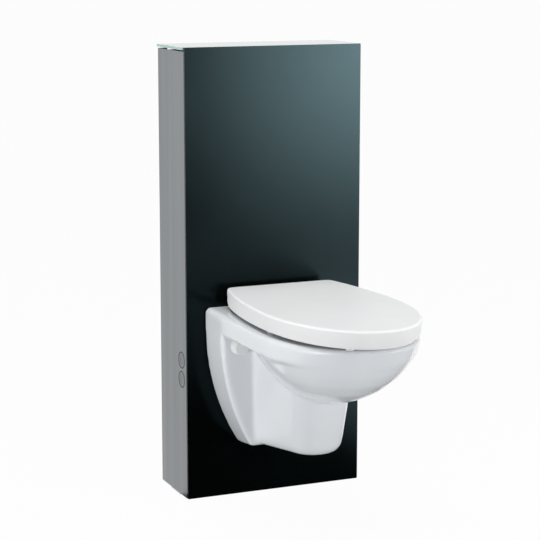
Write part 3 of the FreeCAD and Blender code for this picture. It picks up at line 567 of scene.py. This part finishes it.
def middle(node):
    """Where the axis of a pipe along Y lies in X and Z."""
    low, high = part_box(node)
    return (low.x + high.x) / 2, (low.z + high.z) / 2


def ring_row(name, slot, node, start, stop, radius, wire, count, turns=48):
    """Rings about the axis of a node, near its end at the back."""
    start_clean()
    x, z = middle(node)
    bpy.ops.mesh.primitive_torus_add(
        major_radius=radius, minor_radius=wire, major_segments=turns, minor_segments=8,
        location=(x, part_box(node)[1].y - start, z), rotation=(QUARTER, 0, 0))
    row = bpy.context.object
    bpy.ops.object.transform_apply(location=True, rotation=True, scale=True)
    apply(row, "ARRAY", count=count, use_relative_offset=False, use_constant_offset=True,
          constant_offset_displace=(0, (start - stop) / (count - 1), 0))
    shaded(row, 60)
    fit_out(row, name, "cabinet", slot)


for side in ("left", "right"):
    ring_row(f"{side}_rod_thread", "zinc_steel", f"{side}_pan_rod", **ROD_THREAD)
ring_row("inlet_thread", "brass", "water_inlet", **INLET_THREAD)
ring_row("waste_lips", "pipe_plastic", "waste_connector", **WASTE_LIPS)

# %% [markdown]
# ## Lock nut on the cistern
# The water inlet is held in the cistern wall by a six sided nut, made like the bolt heads and rounded a
# little.

# %% Make the nut
NUT_RADIUS, NUT_HEIGHT, NUT_CONE, NUT_RISE, NUT_ROUND = 0.0205, 0.008, 0.0018, 0.0009, 0.0006
lock_nut = cone_ended(HEX, NUT_RADIUS, NUT_HEIGHT, NUT_CONE, NUT_RISE, -NUT_HEIGHT / 2)
apply(lock_nut, "BEVEL", width=NUT_ROUND, segments=2)
shaded(lock_nut)
inlet_x, inlet_z = middle("water_inlet")
lock_nut.rotation_euler = (-QUARTER, 0, 0)
lock_nut.location = (inlet_x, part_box("water_inlet")[0].y + NUT_HEIGHT / 2, inlet_z)
fit_out(lock_nut, "inlet_lock_nut", "cabinet", "brass")
print("nut radius", NUT_RADIUS)

# %% [markdown]
# ## Flush buttons
# Each button is a turned disc with a shallow dish for the finger. The dish is cut into a copy of the
# solid: its outer face is inset for a narrow rim, then inset again and pushed in for a sloping wall, and
# the edges are rounded by a Bevel. A thin black ring round each button is painted shade: it stands for
# the shadow in the gap between the button and the hole in the panel.

# %% Dish the buttons and lay painted shade round them
DISH_RIM, DISH_SLOPE, DISH_DEPTH, DISH_ROUND = 0.0014, 0.005, 0.0028, 0.0005
RING_RADIUS, RING_WIRE, RING_FLAT = 0.0179, 0.0011, 0.5
panel_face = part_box("left_side_panel")[0].x
for kind in ("full", "half"):
    face_low, face_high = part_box(f"{kind}_flush_button")
    button = take(f"{kind}_flush_button")
    pick(button, lambda centre, normal: centre.x < face_low.x + DISH_ROUND and normal.x < -UP)
    bpy.ops.mesh.inset(thickness=DISH_RIM)
    bpy.ops.mesh.inset(thickness=DISH_SLOPE)
    bpy.ops.transform.translate(value=(DISH_DEPTH, 0, 0))
    bpy.ops.object.mode_set(mode="OBJECT")
    rounded(button, DISH_ROUND)
    fit_out(button, f"{kind}_button_skin", f"{kind}_button", "brushed_aluminium")
    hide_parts(f"{kind}_flush_button")

    # A thin black ring in the gap round the button: painted shade that stands for the shadow in that gap.
    start_clean()
    bpy.ops.mesh.primitive_torus_add(major_radius=RING_RADIUS, minor_radius=RING_WIRE, major_segments=96,
                                     minor_segments=12)
    gap_shade = bpy.context.object
    bpy.ops.object.mode_set(mode="EDIT")
    bpy.ops.mesh.select_all(action="SELECT")
    bpy.ops.transform.resize(value=(1, 1, RING_FLAT))
    bpy.ops.object.mode_set(mode="OBJECT")
    shaded(gap_shade, 80)
    gap_shade.rotation_euler = (0, QUARTER, 0)
    gap_shade.location = (panel_face, (face_low.y + face_high.y) / 2, (face_low.z + face_high.z) / 2)
    fit_out(gap_shade, f"{kind}_button_gap_shade", "cabinet", "black_rubber")
print("ring radius", RING_RADIUS)

# %% [markdown]
# ## Standing water
# The trap holds water that shows when the lid is up. It is a flat oval with a rim that climbs the glaze a
# little. The oval is a scaled circle, given a depth by an extrusion. Its top is then inset, and the inner
# part let down.

# %% Pour the water
WATER_HALF, WATER_LONG, WATER_Y, WATER_LEVEL = 0.0585, 0.0615, -0.3043, 0.285
WATER_DEPTH, WATER_TAPER = 0.03, 0.9
CREEP, CREEP_DROP = 0.003, 0.00075
water = Finish("still_water", ior=1.33, transmission_weight=1.0)
water.tint(water.noise(20.0), (0.86, 0.94, 0.95), (0.9, 0.97, 0.97))
water.wear(water.noise(40.0), 0.01, 0.03)
start_clean()
bpy.ops.mesh.primitive_circle_add(vertices=96, radius=1.0, fill_type="NGON")
pool = bpy.context.object
pool.scale = (WATER_HALF, WATER_LONG, 1.0)
pool.location = (0, WATER_Y, WATER_LEVEL)
bpy.ops.object.transform_apply(location=True, rotation=True, scale=True)
pick(pool, lambda centre, normal: True)
bpy.ops.mesh.extrude_region_move(TRANSFORM_OT_translate={"value": (0, 0, -WATER_DEPTH)})
bpy.ops.transform.resize(value=(WATER_TAPER, WATER_TAPER, 1))
bpy.ops.mesh.select_all(action="SELECT")
bpy.ops.mesh.normals_make_consistent(inside=False)
pick(pool, top_faces)
bpy.ops.mesh.inset(thickness=CREEP)
bpy.ops.transform.translate(value=(0, 0, -CREEP_DROP))
bpy.ops.object.mode_set(mode="OBJECT")
shaded(pool, 50)
pool.name = pool.data.name = "trap_water"
pool.data.materials.append(water.material)
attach(pool, "cabinet")
print("water at", WATER_LEVEL)

# %% [markdown]
# ## Floor, white room and lamps
# The photograph has a plain white ground. What the camera sees of the floor is nearly all its own glow, so
# it stays white, with only a breath of shadow. A large lamp hangs overhead. Two wide lamps, on the left and
# at the front on the right, stand lower than the rim: they light the bowl from below, and the line under
# the lid stays dark.

# %% Build the stage
FLOOR_SIZE, FLOOR_DROP = 120.0, 0.0005
FLOOR_OWN, FLOOR_GREY = 0.97, 0.66
ROOM_LIGHT = 0.18
BLACK, WHITE = (0.0, 0.0, 0.0), (1.0, 1.0, 1.0)
# Each lamp's place, aim, width and height, and power in watts.
LAMPS = {
    "lamp_over": ((-0.2, -1.0, 3.1), (0, -0.3, 0.4), (2.4, 2.4), 71),
    "lamp_left": ((-3.3, -1.3, 0.22), (0, -0.3, 0.22), (2.2, 0.4), 56),
    "lamp_front": ((2.6, -2.4, 0.3), (0, -0.3, 0.3), (1.6, 0.5), 54),
}


def seen_rays(tree):
    """One where a ray comes from the camera, or by glass or metal, and nothing for spread light."""
    paths = tree.node("ShaderNodeLightPath", output="Is Camera Ray")
    for kind in ("Is Glossy Ray", "Is Transmission Ray"):
        paths = paths.larger(tree.node("ShaderNodeLightPath", output=kind))
    return paths


start_clean()
bpy.ops.mesh.primitive_plane_add(size=FLOOR_SIZE, location=(0, 0, -FLOOR_DROP))
floor = bpy.context.object
floor.name = "studio_floor"
pale = Finish("pale_floor", roughness=0.9, base_color=(FLOOR_GREY, FLOOR_GREY, FLOOR_GREY))
lit = Signal(pale, pale.surface.outputs[0])
own_light = pale.node("ShaderNodeEmission", None, {"Color": (*WHITE, 1.0), "Strength": 1.0})
shown = pale.node("ShaderNodeMixShader", None, {0: seen_rays(pale) * FLOOR_OWN, 1: lit, 2: own_light})
pale.feed(pale.nodes["Material Output"].inputs["Surface"], shown)
floor.data.materials.append(pale.material)

world = bpy.data.worlds.new("white_room")
bpy.context.scene.world = world
world.use_nodes = True
room = Tree(world.node_tree)
background = room.nodes["Background"]
room.feed(background.inputs["Color"], (*WHITE, 1.0))
room.feed(background.inputs["Strength"], ROOM_LIGHT + (1 - ROOM_LIGHT) * seen_rays(room))

for name, (place, aim, size, power) in LAMPS.items():
    start_clean()
    bpy.ops.object.light_add(type="AREA", location=place)
    lamp = bpy.context.object
    lamp.name = name
    lamp.rotation_euler = (Vector(aim) - Vector(place)).to_track_quat("-Z", "Y").to_euler()
    lamp.data.shape = "RECTANGLE"
    lamp.data.size, lamp.data.size_y = size
    lamp.data.energy = power

# %% [markdown]
# ## Cards for the black glass
# Black glass shows whatever stands in front of it, so a studio works with cards. A dark card on the floor
# keeps the lower part dark, and a pale card on the right, brightest at its upper far corner, gives the
# sheen that fades towards the lower left. Only reflections see these cards: they neither light the pan
# nor show to the camera. Light linking sends their glow to the front glass alone, so the bright metal of
# the sides isn't burnt out by it.

# %% Stand the cards
SHEEN = 20.0
PALE_PLACE, PALE_SIZE = (0.8, -1.9, 0.6), (1.2, 1.2)
DARK_PLACE, DARK_SIZE = (0.45, -0.97, 0.0), (2.4, 1.88)
# Where a fade starts and stops, and the share of the glow at both.
PALE_ACROSS, PALE_UPWARDS = (0.47, 1.10, 0.07, 1.0), (0.2, 0.9, 0.12, 1.0)
DARK_ACROSS = (0.3, 0.9, 0.0, 0.34)

glass_alone = bpy.data.collections.new("glass_alone")
glass_alone.objects.link(nodes["front_glass"])


def glowing(name):
    """A finish that gives the light that its Emission Color says."""
    return Finish(name, specular_ior_level=0.0, emission_strength=SHEEN)


def card(name, finish, share, place, turn, size):
    """A card that only the front glass sees, with its share of the glow."""
    glow = finish.mixed(share, BLACK, WHITE)
    finish.set("Base Color", glow)
    finish.set("Emission Color", glow)
    start_clean()
    bpy.ops.mesh.primitive_grid_add(x_subdivisions=2, y_subdivisions=2, size=1.0, location=place,
                                    rotation=turn)
    made = bpy.context.object
    made.name = name
    made.scale = (*size, 1.0)
    bpy.ops.object.transform_apply(location=True, rotation=True, scale=True)
    made.visible_camera = made.visible_diffuse = made.visible_shadow = False
    made.visible_transmission = made.visible_volume_scatter = False
    made.light_linking.receiver_collection = glass_alone
    made.data.materials.append(finish.material)
    return made


sheen = glowing("sheen_card")
sheen_share = sheen.range(sheen.axis("X"), *PALE_ACROSS) * sheen.ease(sheen.axis("Z"), *PALE_UPWARDS)
pale_card = card("pale_card", sheen, sheen_share, PALE_PLACE, (QUARTER, 0, 0), PALE_SIZE)
shade = glowing("floor_card")
shade_share = shade.range(shade.axis("X"), *DARK_ACROSS)
dark_card = card("dark_card", shade, shade_share, DARK_PLACE, (0, 0, 0), DARK_SIZE)
print("cards", pale_card.name, dark_card.name)
